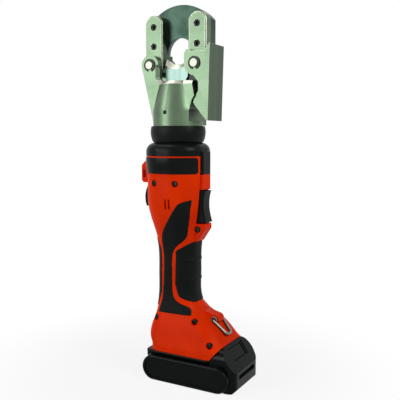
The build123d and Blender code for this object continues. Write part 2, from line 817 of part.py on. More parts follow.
with BuildPart() as trigger_switch:
    with BuildSketch(Plane.YZ.offset(pump_x + pump_len / 2)):
        with Locations((0, pump_top_z - switch_drop)):
            Rectangle(2 * switch_half, switch_h)
    extrude(amount=switch_t)
    with BuildSketch(Plane.YZ.offset(pump_x + pump_len / 2 + switch_t)):
        with Locations((0, pump_top_z - plunger_drop)):
            Circle(plunger_r)
    extrude(amount=plunger_len)
trigger_switch.part.label = "trigger_switch"
export_step(trigger_switch.part, "parts/trigger_switch.step")

# Trigger and its pin
with BuildPart() as trigger:
    with BuildSketch(y_plane(trigger_half)):
        with BuildLine():
            face = ThreePointArc(
                (trigger_front, trigger_roof_z - trigger_top),
                (trigger_waist, trigger_roof_z - trigger_top - trigger_len / 3),
                (trigger_tip, trigger_roof_z - trigger_top - trigger_len),
            )
            Polyline(
                face @ 1, (trigger_back, trigger_roof_z - trigger_top - trigger_len),
                (trigger_back, trigger_roof_z - trigger_top), face @ 0,
            )
        make_face()
        with Locations((trigger_pin_x, trigger_pin_z)):
            Circle(control_pin_r + fit_pin, mode=Mode.SUBTRACT)
    extrude(amount=2 * trigger_half)
    fillet(trigger.faces().filter_by(Axis.Y).edges().group_by(Axis.X)[-1], trigger_edge)
trigger.part.label = "trigger"
export_step(trigger.part, "parts/trigger.step")

with BuildPart() as trigger_pin:
    with BuildSketch(y_plane(trigger_slot + cheek_t)):
        with Locations((trigger_pin_x, trigger_pin_z)):
            Circle(control_pin_r)
    extrude(amount=2 * (trigger_slot + cheek_t))
trigger_pin.part.label = "trigger_pin"
export_step(trigger_pin.part, "parts/trigger_pin.step")

# Pressure release lever and its pin
with BuildPart() as release_lever:
    with BuildSketch(y_plane(lever_half)):
        with BuildLine():
            face = ThreePointArc(
                (lever_out_top, lever_roof_z - lever_top), (lever_out, (lever_roof_z + lever_floor_z) / 2),
                (lever_out_low, lever_floor_z + lever_top),
            )
            Polyline(
                face @ 1, (lever_in, lever_floor_z + lever_top), (lever_in, lever_pin_z - lever_step),
                (lever_root, lever_pin_z - lever_step / 2), (lever_root, lever_roof_z - lever_top), face @ 0,
            )
        make_face()
        with Locations((lever_pin_x, lever_pin_z)):
            Circle(control_pin_r + fit_pin, mode=Mode.SUBTRACT)
    extrude(amount=2 * lever_half)
    fillet(release_lever.faces().filter_by(Axis.Y).edges().group_by(Axis.X)[0], lever_edge)
release_lever.part.label = "release_lever"
export_step(release_lever.part, "parts/release_lever.step")

with BuildPart() as lever_pin:
    with BuildSketch(y_plane(lever_slot + cheek_t)):
        with Locations((lever_pin_x, lever_pin_z)):
            Circle(control_pin_r)
    extrude(amount=2 * (lever_slot + cheek_t))
lever_pin.part.label = "lever_pin"
export_step(lever_pin.part, "parts/lever_pin.step")

# Lanyard bail: one bent wire whose ends turn in the housing's boss
with BuildPart() as lanyard_bail:
    with BuildLine() as bail_path:
        FilletPolyline(
            (bail_pin_x, -bail_in, bail_pin_z), (bail_pin_x, -bail_half, bail_pin_z),
            (bail_pin_x + bail_dx, -bail_end_half, bail_pin_z - bail_dz),
            (bail_pin_x + bail_dx, bail_end_half, bail_pin_z - bail_dz),
            (bail_pin_x, bail_half, bail_pin_z), (bail_pin_x, bail_in, bail_pin_z),
            radius=[bail_bend, bail_end_bend, bail_end_bend, bail_bend],
        )
    with BuildSketch(bail_path.line ^ 0):
        Circle(bail_r)
    sweep(path=bail_path.line)
lanyard_bail.part.label = "lanyard_bail"
export_step(lanyard_bail.part, "parts/lanyard_bail.step")

# Neck that the head turns on
with BuildPart() as neck:
    with BuildSketch(Plane.XZ):
        with BuildLine():
            Polyline(
                (pipe_r + fit_part, neck_z), (neck_flange_r, neck_z), (neck_flange_r, nose_z - fit_part),
                (neck_r, nose_z - fit_part), (neck_r, collar_z), (bore_r - fit_seat, collar_z),
                (bore_r - fit_seat, neck_top_z), (pipe_r + fit_part, neck_top_z), close=True,
            )
        make_face()
    revolve(axis=Axis.Z)
neck.part.label = "neck"
export_step(neck.part, "parts/neck.step")

# Yoke: cylinder, fork walls and hinge ear in one forging
with BuildPart() as yoke:
    with BuildSketch(y_plane(fork_back_y)):
        with BuildLine():
            Polyline(
                (-pin_x - ear_r, pin_z), (-fork_foot_half, collar_z + collar_h + fork_foot_gap),
                (fork_foot_half, collar_z + collar_h + fork_foot_gap), (fork_foot_half, yoke_taper_z + fork_kink),
                (lug_x - lug_chin, lug_z - lug_chin_drop), (lug_x, lug_z), (lug_x - lug_brow, yoke_top_z),
                (-pin_x + ear_r, yoke_top_z), (-pin_x + ear_r, pin_z), close=True,
            )
        make_face()
        fillet(vertices().sort_by_distance((-pin_x + ear_r, yoke_top_z))[0], ear_blend)
        with Locations((-pin_x, pin_z)):
            Circle(ear_r)
            Circle(hinge_pin_r + fit_seat, mode=Mode.SUBTRACT)
    extrude(amount=fork_back_y - fork_front_y)
    # bright bevel along the top of both fork walls and up the ear
    for y, way in ((fork_front_y, -1), (fork_back_y, 1)):
        with BuildSketch(y_plane(y)):
            with BuildLine():
                Polyline(
                    (-pin_x + ear_r - yoke_bevel, pin_z), (-pin_x + ear_r - yoke_bevel, yoke_top_z - yoke_bevel),
                    (far, yoke_top_z - yoke_bevel), (far, pin_z), close=True,
                )
            make_face()
            fillet(vertices().group_by(Axis.X)[0].sort_by(Axis.Y)[0], ear_blend + yoke_bevel)
        extrude(amount=way * yoke_bevel, taper=45, mode=Mode.SUBTRACT)
    # turned body with the cone
    with BuildSketch(Plane.XZ):
        with BuildLine():
            Polyline(
                (0, collar_z), (yoke_base_r, collar_z), (yoke_base_r, yoke_taper_z),
                (yoke_top_r, yoke_top_z - yoke_bevel), (yoke_top_r - yoke_bevel, yoke_top_z),
                (0, yoke_top_z), close=True,
            )
        make_face()
    revolve(axis=Axis.Z)
    # slot for the blade frame
    with BuildSketch(y_plane(slot_back_y)):
        with Locations((0, slot_floor_z + far / 2)):
            Rectangle(far, far)
    extrude(amount=slot_back_y - slot_front_y, mode=Mode.SUBTRACT)
    # cylinder bore, rod bore and the hole of the set screw
    with BuildSketch(Plane.XY.offset(collar_z)):
        Circle(bore_r)
    extrude(amount=bore_top_z - collar_z, mode=Mode.SUBTRACT)
    with BuildSketch(Plane.XY.offset(collar_z)):
        Circle(rod_r + fit_pin)
    extrude(amount=far, mode=Mode.SUBTRACT)
    with BuildSketch(y_plane(-yoke_base_r + set_screw_sink + set_screw_len)):
        with Locations((0, set_screw_z)):
            Circle(set_screw_r)
    extrude(amount=far, mode=Mode.SUBTRACT)
yoke.part.label = "yoke"
export_step(yoke.part, "parts/yoke.step")

with BuildPart() as set_screw:
    with BuildSketch(y_plane(-yoke_base_r + set_screw_sink + set_screw_len)):
        with Locations((0, set_screw_z)):
            Circle(set_screw_r)
    extrude(amount=set_screw_len)
set_screw.part.label = "set_screw"
export_step(set_screw.part, "parts/set_screw.step")

with BuildPart() as collar:
    with BuildSketch(Plane.XZ):
        with BuildLine():
            belly = ThreePointArc(
                (collar_low_r, collar_z), (collar_r, collar_z + collar_belly), (collar_top_r, collar_z + collar_h)
            )
            Polyline(
                belly @ 1, (yoke_base_r + fit_seat, collar_z + collar_h), (yoke_base_r + fit_seat, collar_z), belly @ 0
            )
        make_face()
    revolve(axis=Axis.Z)
collar.part.label = "collar"
export_step(collar.part, "parts/collar.step")

# Ram: piston with its seal, rod, lower blade and the pin that holds it
with BuildPart() as piston:
    with BuildSketch(Plane.XY.offset(piston_z)):
        Circle(bore_r - fit_pin)
    extrude(amount=piston_h)
    with BuildSketch(Plane.XY.offset(piston_z + (piston_h - seal_h) / 2)):
        Circle(bore_r)
        Circle(seal_r, mode=Mode.SUBTRACT)
    extrude(amount=seal_h, mode=Mode.SUBTRACT)
piston.part.label = "piston"
export_step(piston.part, "parts/piston.step")

with BuildPart() as piston_seal:
    with BuildSketch(Plane.XY.offset(piston_z + (piston_h - seal_h) / 2)):
        Circle(bore_r - fit_pin)
        Circle(seal_r, mode=Mode.SUBTRACT)
    extrude(amount=seal_h)
piston_seal.part.label = "piston_seal"
export_step(piston_seal.part, "parts/piston_seal.step")

with BuildPart() as ram_rod:
    with BuildSketch(Plane.XY.offset(piston_z + piston_h)):
        Circle(rod_r)
    extrude(amount=rod_top_z - piston_z - piston_h)
    with BuildSketch(y_plane(blade_back_y + fit_seat)):
        with Locations((0, blade_foot_z + far / 2)):
            Rectangle(far, far)
    extrude(amount=blade_t + 2 * fit_seat, mode=Mode.SUBTRACT)
    with BuildSketch(y_plane(far / 2)):
        with Locations((0, blade_pin_z)):
            Circle(blade_pin_r)
    extrude(amount=far, mode=Mode.SUBTRACT)
ram_rod.part.label = "ram_rod"
export_step(ram_rod.part, "parts/ram_rod.step")

with BuildPart() as lower_blade:
    with BuildSketch(y_plane(blade_back_y)):
        with BuildLine():
            Polyline(
                (-blade_half_w, blade_horn_z), (-blade_half_w, blade_wide_z),
                (-blade_foot_half, blade_wide_z - blade_flare_h), (-blade_foot_half, blade_foot_z),
                (blade_foot_half, blade_foot_z), (blade_foot_half, blade_wide_z - blade_flare_h),
                (blade_half_w, blade_wide_z), (blade_half_w, blade_horn_z),
            )
            ThreePointArc((blade_half_w, blade_horn_z), (0, blade_horn_z - hollow), (-blade_half_w, blade_horn_z))
        make_face()
        with Locations((0, blade_pin_z)):
            Circle(blade_pin_r + fit_pin, mode=Mode.SUBTRACT)
    extrude(amount=blade_t)
    edge = lower_blade.edges().filter_by(GeomType.CIRCLE).filter_by(lambda e: e.radius > blade_half_w)
    chamfer(edge.sort_by(Axis.Y)[0], blade_bevel_t, blade_bevel)
lower_blade.part.label = "lower_blade"
export_step(lower_blade.part, "parts/lower_blade.step")

with BuildPart() as blade_pin:
    with BuildSketch(y_plane(blade_pin_half)):
        with Locations((0, blade_pin_z)):
            Circle(blade_pin_r)
    extrude(amount=2 * blade_pin_half)
blade_pin.part.label = "blade_pin"
export_step(blade_pin.part, "parts/blade_pin.step")


def blade_arm(side, hole_r):
    """One bar of the blade frame, on the hinge side (-1) or the latch side (1)."""
    with BuildPart() as arm:
        with BuildSketch(y_plane(arm_back_y)):
            with Locations((side * pin_x, pin_z + arm_len / 2)):
                Rectangle(2 * arm_half_w, arm_len)
            fillet(vertices().group_by(Axis.Y)[-1], arm_corner)
            with Locations((side * pin_x, pin_z)):
                Circle(arm_half_w)
        extrude(amount=2 * arm_half_t)
        chamfer(arm.faces().sort_by(Axis.Y)[0].edges(), arm_edge)
        with BuildSketch(y_plane(far)):
            with Locations((side * pin_x, pin_z)):
                Circle(hole_r)
        extrude(amount=2 * far, mode=Mode.SUBTRACT)
        # rabbet that the upper blade lies in
        with BuildSketch(y_plane(arm_back_y)):
            with Locations((side * pin_x, rabbet_z + far / 2)):
                Rectangle(far, far)
        extrude(amount=arm_back_y - shear_y, mode=Mode.SUBTRACT)
        with BuildSketch(y_plane(arm_front_y + screw_sink + screw_head_h)):
            with Locations((side * pin_x, screws_z)):
                with GridLocations(0, screw_pitch, 1, 2):
                    Circle(screw_head_r + fit_seat)
        extrude(amount=far, mode=Mode.SUBTRACT)
        with BuildSketch(y_plane(far)):
            with Locations((side * pin_x, screws_z)):
                with GridLocations(0, screw_pitch, 1, 2):
                    Circle(screw_shank_r)
        extrude(amount=2 * far, mode=Mode.SUBTRACT)
    return arm.part


hinge_arm = blade_arm(-1, hinge_pin_r + fit_pin)
hinge_arm.label = "hinge_arm"
export_step(hinge_arm, "parts/hinge_arm.step")

latch_arm = blade_arm(1, latch_pin_r)
latch_arm.label = "latch_arm"
export_step(latch_arm, "parts/latch_arm.step")

# Upper blade: an arch that lies in the rabbets of both arms
with BuildPart() as upper_blade:
    with BuildSketch(y_plane(arm_back_y)):
        with Locations((0, pin_z + arch_rise)):
            Circle(arch_r)
        with Locations((0, rabbet_z + far / 2)):
            Rectangle(2 * arm_out_x, far, mode=Mode.INTERSECT)
        with Locations((0, throat_z)):
            Circle(arm_in_x, mode=Mode.SUBTRACT)
        with Locations((0, throat_z - far / 2)):
            Rectangle(2 * arm_in_x, far, mode=Mode.SUBTRACT)
    extrude(amount=arm_back_y - shear_y)
    # bevel behind the cutting edge
    with BuildSketch(y_plane(arm_back_y)):
        with Locations((0, throat_z)):
            Circle(arm_in_x + throat_bevel)
        with Locations((0, throat_z - far / 2)):
            Rectangle(2 * (arm_in_x + throat_bevel), far)
    extrude(amount=throat_bevel_depth, taper=throat_taper, mode=Mode.SUBTRACT)
    with BuildSketch(y_plane(shear_y + screw_grip)):
        with Locations((0, screws_z)):
            with GridLocations(2 * pin_x, screw_pitch, 2, 2):
                Circle(screw_shank_r)
    extrude(amount=screw_grip, mode=Mode.SUBTRACT)
upper_blade.part.label = "upper_blade"
export_step(upper_blade.part, "parts/upper_blade.step")

with BuildPart() as blade_screws:
    with BuildSketch(y_plane(arm_front_y + screw_sink + screw_head_h)):
        with Locations((0, screws_z)):
            with GridLocations(2 * pin_x, screw_pitch, 2, 2):
                Circle(screw_head_r)
    extrude(amount=screw_head_h)
    with BuildSketch(y_plane(shear_y + screw_grip)):
        with Locations((0, screws_z)):
            with GridLocations(2 * pin_x, screw_pitch, 2, 2):
                Circle(screw_shank_r)
    extrude(amount=shear_y + screw_grip - arm_front_y - screw_sink - screw_head_h)
    # hexagon sockets
    with BuildSketch(y_plane(arm_front_y + screw_sink + socket_depth)):
        with Locations((0, screws_z)):
            with GridLocations(2 * pin_x, screw_pitch, 2, 2):
                RegularPolygon(socket_r, 6)
    extrude(amount=socket_depth, mode=Mode.SUBTRACT)
blade_screws.part.label = "blade_screws"
export_step(blade_screws.part, "parts/blade_screws.step")

# Pins of the blade frame and their clips
with BuildPart() as hinge_pin:
    with BuildSketch(y_plane(fork_back_y + clip_t + clip_edge)):
        with Locations((-pin_x, pin_z)):
            Circle(hinge_pin_r)
    extrude(amount=fork_back_y - fork_front_y + 2 * (clip_t + clip_edge))
hinge_pin.part.label = "hinge_pin"
export_step(hinge_pin.part, "parts/hinge_pin.step")

with BuildPart() as hinge_pin_clips:
    with BuildSketch(y_plane(fork_back_y + clip_t), y_plane(fork_front_y)):
        with Locations((-pin_x, pin_z)):
            Circle(clip_r)
            Circle(hinge_pin_r, mode=Mode.SUBTRACT)
        with Locations((-pin_x, pin_z - clip_r)):
            Rectangle(clip_gap, 2 * clip_r - hinge_pin_r, mode=Mode.SUBTRACT)
    extrude(amount=clip_t)
hinge_pin_clips.part.label = "hinge_pin_clips"
export_step(hinge_pin_clips.part, "parts/hinge_pin_clips.step")

with BuildPart() as latch_pin:
    with BuildSketch(y_plane(clip_back_y + clip_t + clip_edge)):
        with Locations((pin_x, pin_z)):
            Circle(latch_pin_r)
    extrude(amount=clip_back_y - clip_front_y + 2 * (clip_t + clip_edge))
latch_pin.part.label = "latch_pin"
export_step(latch_pin.part, "parts/latch_pin.step")

with BuildPart() as latch_pin_clips:
    with BuildSketch(y_plane(clip_back_y + clip_t), y_plane(clip_front_y)):
        with Locations((pin_x, pin_z)):
            Circle(clip_r)
            Circle(latch_pin_r, mode=Mode.SUBTRACT)
        with Locations((pin_x, pin_z - clip_r)):
            Rectangle(clip_gap, 2 * clip_r - latch_pin_r, mode=Mode.SUBTRACT)
    extrude(amount=clip_t)
latch_pin_clips.part.label = "latch_pin_clips"
export_step(latch_pin_clips.part, "parts/latch_pin_clips.step")


def hook_point(angle):
    """Point of the hook's inner edge, which runs round the hinge pin."""
    return (-pin_x + hook_reach * cos(radians(angle)), pin_z - hook_reach * sin(radians(angle)))


# Latch: a channel whose side walls hook under the fork's nose
with BuildPart() as latch:
    with BuildSketch(y_plane(latch_back_y)):
        with BuildLine():
            Polyline(
                hook_point(hook_top_angle), (latch_neck_x, pin_z - latch_neck), (latch_in_x, pin_z),
                (latch_in_x, pin_z + latch_horn - latch_horn_w), (latch_in_x + latch_horn_w, pin_z + latch_horn),
                (latch_in_x + 2 * latch_horn_w, pin_z + latch_horn), (latch_in_x + 3 * latch_horn_w, pin_z + latch_lip),
                (latch_scoop_x, pin_z + latch_lip), (latch_out_top - latch_tip, pin_z + latch_top),
                (latch_out_top, pin_z + latch_top), (latch_out_low, pin_z - latch_low),
                (latch_out_low - latch_toe, pin_z - latch_low), (hook_x, pin_z - hook_low),
                (hook_x, pin_z - hook_low + hook_tip), hook_point(hook_low_angle),
            )
            ThreePointArc(hook_point(hook_low_angle), hook_point(hook_mid_angle), hook_point(hook_top_angle))
        make_face()
        with Locations((pin_x, pin_z)):
            Circle(latch_boss_r)
            Circle(latch_pin_r + fit_pin, mode=Mode.SUBTRACT)
    extrude(amount=latch_back_y - latch_front_y)
    # open channel between the side walls
    with BuildSketch(y_plane(slot_back_y)):
        with BuildLine():
            Polyline(
                (latch_out_top - latch_spine, pin_z + latch_top), (latch_out_low - latch_spine, pin_z - latch_low),
                (0, pin_z - latch_low), (0, pin_z + latch_top), close=True,
            )
        make_face()
    extrude(amount=slot_back_y - slot_front_y, mode=Mode.SUBTRACT)
latch.part.label = "latch"
export_step(latch.part, "parts/latch.step")

# Battery pack, made whole and parted at its joint line
with BuildPart() as pack:
    # front block with the slope
    with BuildSketch(y_plane(block_half)):
        with BuildLine():
            Polyline(
                (block_rear, 0), (block_front - block_chin, 0), (block_front, block_chin), (block_front, ledge_h),
                (brow_x, brow_h), (slope_top_x, slope_top_z), (wedge_x + wedge_gap, foot_z),
                (wedge_x + wedge_gap, pack_h), (block_rear, pack_h), close=True,
            )
        make_face()
    extrude(amount=2 * block_half)
    with BuildSketch(Plane.YZ):
        with Locations((0, slope_top_z - far / 2)):
            RectangleRounded(2 * block_half, far, block_shoulder)
    extrude(amount=far, mode=Mode.INTERSECT)
    with BuildSketch(Plane.XY):
        with Locations((block_front - far / 2, 0)):
            RectangleRounded(far, 2 * block_half, block_corner)
    extrude(amount=far, mode=Mode.INTERSECT)
    # round-ended body with its sunk side panels
    with BuildSketch(y_plane(pack_half_w)):
        with Locations(((pack_rear + pack_front) / 2, pack_end_r)):
            SlotOverall(pack_front - pack_rear, pack_h)
    extrude(amount=2 * pack_half_w)
    fillet(pack.faces().filter_by(Axis.Y).group_by(Axis.Y)[0].edges(), pack_edge)
    fillet(pack.faces().filter_by(Axis.Y).group_by(Axis.Y)[-1].edges(), pack_edge)
    with BuildSketch(y_plane(pack_half_w), y_plane(-pack_half_w + panel_depth)):
        with Locations(((pack_rear + pack_front) / 2, pack_end_r)):
            SlotOverall(pack_front - pack_rear - 2 * panel_rim, pack_h - 2 * panel_rim)
    extrude(amount=panel_depth, mode=Mode.SUBTRACT)
    # sliding tongue, narrow below and wide above the rail
    with BuildSketch(Plane.XY.offset(pack_h)):
        with Locations(((tongue_rear + tongue_front) / 2, 0)):
            Rectangle(tongue_front - tongue_rear, 2 * tongue_neck)
    extrude(amount=foot_z + fit_part - pack_h)
    with BuildSketch(Plane.XY.offset(foot_z + fit_part)):
        with Locations(((tongue_rear + tongue_front) / 2, 0)):
            Rectangle(tongue_front - tongue_rear, 2 * tongue_half)
    extrude(amount=tongue_t)
    # room for the cells
    with BuildSketch(y_plane(pack_half_w - pack_wall)):
        with Locations(((pack_rear + pack_front) / 2, pack_end_r)):
            SlotOverall(pack_front - pack_rear - 2 * pack_wall, pack_h - 2 * pack_wall)
    extrude(amount=2 * (pack_half_w - pack_wall), mode=Mode.SUBTRACT)
    # pocket of the button in the slope, with a step round it
    with BuildSketch(slope_plane):
        RectangleRounded(button_w + 2 * rim_w, button_h + rim_w, button_round)
    extrude(amount=-rim_depth, mode=Mode.SUBTRACT)
    with BuildSketch(slope_plane):
        Rectangle(button_w + 2 * fit_part, button_h + 2 * fit_part)
    extrude(amount=-(button_sink + button_t + button_travel + fit_part), mode=Mode.SUBTRACT)
    # finger groove across the front
    with BuildSketch(Plane.YZ.offset(block_front)):
        with Locations((0, groove_z)):
            RectangleRounded(2 * groove_half, groove_h, groove_h / 3)
    extrude(amount=-groove_depth, mode=Mode.SUBTRACT)

with BuildPart() as battery_case:
    add(pack.part)
    split(bisect_by=Plane.XY.offset(split_z), keep=Keep.BOTTOM)
battery_case.part.label = "battery_case"
export_step(battery_case.part, "parts/battery_case.step")

with BuildPart() as battery_cover:
    add(pack.part)
    split(bisect_by=Plane.XY.offset(split_z), keep=Keep.TOP)
battery_cover.part.label = "battery_cover"
export_step(battery_cover.part, "parts/battery_cover.step")

with BuildPart() as battery_cells:
    with BuildSketch(y_plane(cell_len / 2)):
        for number in range(cell_count):
            with Locations((pack_rear + pack_end_r + cell_first + number * cell_pitch, pack_wall + cell_r)):
                Circle(cell_r)
    extrude(amount=cell_len)
battery_cells.part.label = "battery_cells"
export_step(battery_cells.part, "parts/battery_cells.step")

with BuildPart() as battery_button:
    with BuildSketch(slope_plane.offset(-button_sink)):
        RectangleRounded(button_w, button_h, button_round)
    extrude(amount=-button_t)
battery_button.part.label = "battery_button"
export_step(battery_button.part, "parts/battery_button.step")
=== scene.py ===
"""Looks of the cordless hydraulic cable cutter: finishes, fine details, camera and light."""
import json
import math

import bmesh
import bpy
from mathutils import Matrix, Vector
from mathutils.bvhtree import BVHTree
from mathutils.geometry import delaunay_2d_cdt


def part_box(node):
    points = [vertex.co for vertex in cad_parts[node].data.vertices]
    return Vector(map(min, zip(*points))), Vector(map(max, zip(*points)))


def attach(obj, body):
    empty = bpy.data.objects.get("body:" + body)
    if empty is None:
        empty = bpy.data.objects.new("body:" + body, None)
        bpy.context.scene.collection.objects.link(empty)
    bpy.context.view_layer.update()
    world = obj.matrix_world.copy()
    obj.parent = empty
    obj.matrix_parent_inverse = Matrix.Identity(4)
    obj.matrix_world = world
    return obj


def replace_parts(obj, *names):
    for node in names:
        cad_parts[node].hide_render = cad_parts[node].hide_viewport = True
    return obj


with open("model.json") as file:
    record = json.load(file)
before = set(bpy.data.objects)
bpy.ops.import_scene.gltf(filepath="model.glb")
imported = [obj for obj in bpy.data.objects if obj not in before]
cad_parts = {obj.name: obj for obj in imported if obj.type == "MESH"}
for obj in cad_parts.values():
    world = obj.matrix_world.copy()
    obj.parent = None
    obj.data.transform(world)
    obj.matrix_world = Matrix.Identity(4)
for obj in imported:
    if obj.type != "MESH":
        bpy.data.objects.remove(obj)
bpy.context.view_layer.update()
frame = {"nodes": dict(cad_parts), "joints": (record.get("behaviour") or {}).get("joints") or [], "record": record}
nodes = frame["nodes"]
record = frame["record"]
SLOT_OF = {part["node"]: part["material_slot"] for part in record["subparts"]}
BODY_OF = {node: body for body, members in record["behaviour"]["bodies"].items() for node in members}

# Sizes of pieces are in mm, those of the camera, the lamps and the floor in metres
MM = 0.001

# Camera, fitted to the photograph
IMAGE_PX = 400
FOCAL_PX = 594.1
SENSOR_MM = 36.0
EYE = Vector((0.3265, -0.5414, 0.2540))
YAW = math.radians(29.01)
PITCH = math.radians(5.91)
CLIP_START = 0.01

# Light and floor
MIDDLE = Vector((0, 0, 0.2))
LAMPS = {  # name: place, size, power
    "key": ((-0.80, -0.80, 0.80), 0.03, 2.0),
    "panel": ((-0.54, -0.94, 0.40), 0.50, 4.8),
    "top": ((-0.45, -0.15, 1.25), 0.35, 2.4),
    "fill": ((0.95, -0.15, 0.85), 0.60, 9.0),
    "rim": ((-0.50, 0.80, 0.90), 0.60, 1.5),
}
SKY = 0.06
FLOOR_REACH = 12.0
FLOOR_GREY = 0.62
FLOOR_ROUGH = 0.9
FLOOR_FADE = (0.10, 0.28)  # distances in metres between which it turns plain white
FLOOR_WHITE = 0.86  # share of white within the first

# Materials: scale of the shade patches, detail of the grain, and depth of its relief in metres
MOULD_GRAIN = (26.0, 2.0, 0.0002)
METAL_GRAIN = (60.0, 3.0, 0.00005)
PATCH_DETAIL = 4.0
NOISE_STOPS = (0.3, 0.7)
EVEN = (1, 1, 1)
UPRIGHT = (1, 1, 0.02)  # stretched to streaks along Z

# CAD meshes: corners this near, in metres, are joined, and facets below this angle are one face
WELD = 1e-6
FACET_ANGLE = math.radians(0.4)
RAY_START = 0.1  # rays towards the part start this far out, in metres

# Eased edges: node and width of its rounded edges
EASED_MM = {
    "hinge_arm": 0.45, "latch_arm": 0.45, "latch": 0.5, "yoke": 0.4, "upper_blade": 0.25,
    "lower_blade": 0.15, "trigger": 0.5, "release_lever": 0.5, "battery_button": 0.5, "battery_rail": 0.4,
    "hinge_pin": 0.5, "latch_pin": 0.5, "set_screw": 0.2, "blade_screws": 0.3, "battery_case": 1.0,
    "battery_cover": 1.0, "near_shell": 0.35, "far_shell": 0.35, "nose_cover": 0.4, "label_plate": 0.25,
    "collar": 0.8,
}
EASE_SEGMENTS = 2
AS_FACE = -1  # a rounded edge takes the material of its face
OWN, BARE_HIGHLIGHT, SHADE_PLATE = range(3)  # places of a piece's own finish, of bare steel lightened as painted highlight, and of a plate darkened as painted shade
EASE_ANGLE = math.radians(32)
HIGHLIGHT_EDGES = ("hinge_arm", "latch_arm", "latch", "yoke")  # rounded edges in lighter bare steel, as a painted highlight along the rims

# Yoke: edges over this angle stay crisp beside a flat of at least this area, in square metres
CREASE_ANGLE = math.radians(8)
FLAT_AREA = 0.0003

# Bevels in lighter bare steel, partly real bare metal and partly painted highlight: lowest and highest place, and
# range of the larger of |normal y| and normal z
BEVELS = {"yoke": (309.9, 314.5, 0.6, 0.8), "lower_blade": (320.0, 400.0, 0.8, 0.88)}
NO_BEVEL = (0, 0, 1, 1)

# Nodes whose +X side takes a darker streaked plate, painted shade for that side, and the least normal x of that
# side
PAINTED_SHADE_SIDES = ("latch", "hinge_arm")
PAINTED_SHADE_FROM = 0.95

# Lower end of the trigger, drawn down towards the guard
TIP_FROM_Z = 176.0
TIP_DRAW = 0.15

# Flat milled on the latch side of the yoke, flush with the fork: outline in the XZ plane
FLAT_XZ = ((21.55, 271.5), (40.0, 271.5), (40.0, 293.5), (24.25, 293.5), (21.55, 284.0))
FLAT_HALF_W = 40.0

# Rubber lip between the collar and the nose
LIP_STEPS = 96
LIP_IN_R = 20.2
LIP_OUT_R = 26.0
LIP_EDGE = 0.3
LIP_GAP = 0.08
LIP_SEAT = 0.2

# Heel of the rail, over the round end of the pack
HEEL_HALF_W = 30.6
HEEL_CORNER = 5.0
HEEL_R = 13.5
HEEL_GAP = 0.3
HEEL_SEAT = 0.5
HEEL_WRAP = 44  # degrees of the pack's round end that it follows
HEEL_WRAP_STEPS = 24
HEEL_ROUND = 8  # steps of its rounded rear and corners
HEEL_INSET = 0.15  # from the rail's rear face

# Lobed recess in the heads of the housing screws
CAP_R = 2.5
CAP_H = 0.35
CAP_STEPS = 48
LOBES = 6
LOBE_R = 1.45
LOBE_DEPTH = 0.28
# radius, whether it is lobed, and height as a share of the cap's
CAP_RINGS = ((CAP_R, 0, 0), (CAP_R, 0, 0.6), (CAP_R * 0.9, 0, 1), (LOBE_R, 1, 1), (LOBE_R, 1, 0.04))

# Rounded outlines: how often their corners are cut, and where along a side
CUT_ROUNDS = 2
CUT_SHARES = (0.25, 0.75)

# Rubber skins on the housing: outlines in the XZ plane
SIDE_GRIP_XZ = (
    (26.7, 191.7), (23.8, 190.9), (18.4, 188.9), (15.9, 187.8), (13.6, 185.3), (11.9, 182.7), (6.9, 175.3),
    (0.1, 166.3), (-4.9, 159.0), (-7.7, 152.4), (-8.6, 146.5), (-8.2, 139.8), (-7.3, 132.1), (-7.0, 115.0),
    (-8.5, 96.4), (-9.5, 83.9), (-11.9, 75.9), (-12.8, 72.4), (-13.3, 70.2), (-11.0, 70.2), (8.1, 70.5),
    (24.6, 70.9), (27.0, 71.0), (26.2, 73.2), (24.8, 76.0), (21.9, 78.6), (13.3, 81.8), (7.2, 84.8),
    (4.0, 89.7), (2.9, 98.0), (2.9, 125.0), (3.5, 131.7), (5.0, 137.2), (9.3, 142.3), (15.5, 147.1),
    (19.6, 151.6), (20.6, 155.5), (23.3, 169.1), (25.9, 187.6),
)
FRONT_CORNER_XZ = (
    (7.6, 106.0), (8.0, 100.0), (8.4, 94.5), (10.8, 89.0), (15.6, 86.2), (22.8, 83.4), (26.0, 82.4),
    (21.5, 89.0), (14.5, 95.5), (11.5, 103.0),
)
SKIN_H = 0.6  # above the housing's surface
CORNER_H = SKIN_H * 0.95
SKIN_EDGE = 0.8  # width of the rounded edge
SKIN_RINGS = (0.0, 0.12, 0.4, 0.8)  # rows of points along it
SKIN_STEP = 1.6  # spacing of the points inside
SKIN_CLEAR = SKIN_EDGE + SKIN_STEP / 2  # their least distance from the outline
SKIN_SINK = 0.1  # outer row below the housing's surface
SKIN_ROOT = 0.5  # underside below the housing's surface
SKIN_MERGE = 1e-6  # points this near are one
INSIDE_ONLY = 1  # kind of result of delaunay_2d_cdt

# Stop below the latch arm, in the slot of the fork
STOP_XZ = ((15.8, 307.5), (28.0, 307.5), (29.8, 311.0), (30.5, 321.5), (19.0, 323.2), (16.0, 318.5))
STOP_Y = (-5.4, 13.9)
STOP_EASE = 0.6

# Finger ribs across the front grip
RIB_HEIGHTS = (127.0, 106.0)
RIB_HALF_W = 2.4
RIB_RISE = 0.75
RIB_SINK = 0.08
RIB_ROOT = 0.4
RIB_STEPS = 40
RIB_ACROSS = 8
RIB_SWEEP = math.radians(62)
GRIP_AXIS_X = 6.0

# Coiled bushes beside the boss of the bail
COIL_R = 2.9
COIL_WIRE = 0.5
COIL_TURNS = 2
COIL_NEAR = 6.45
COIL_PITCH = 1.0
COIL_STEPS = 36
WIRE_STEPS = 10


def tree_of(name):
    """A new node material with its Principled shader: material, nodes, links, shader."""
    material = bpy.data.materials.new(name)
    material.use_nodes = True
    tree = material.node_tree
    return material, tree.nodes, tree.links, tree.nodes["Principled BSDF"]


def place(tree_nodes, links, stretch):
    """Object coordinates, stretched for streaks."""
    coord = tree_nodes.new("ShaderNodeTexCoord")
    mapping = tree_nodes.new("ShaderNodeMapping")
    mapping.inputs["Scale"].default_value = stretch
    links.new(coord.outputs["Object"], mapping.inputs["Vector"])
    return mapping.outputs["Vector"]


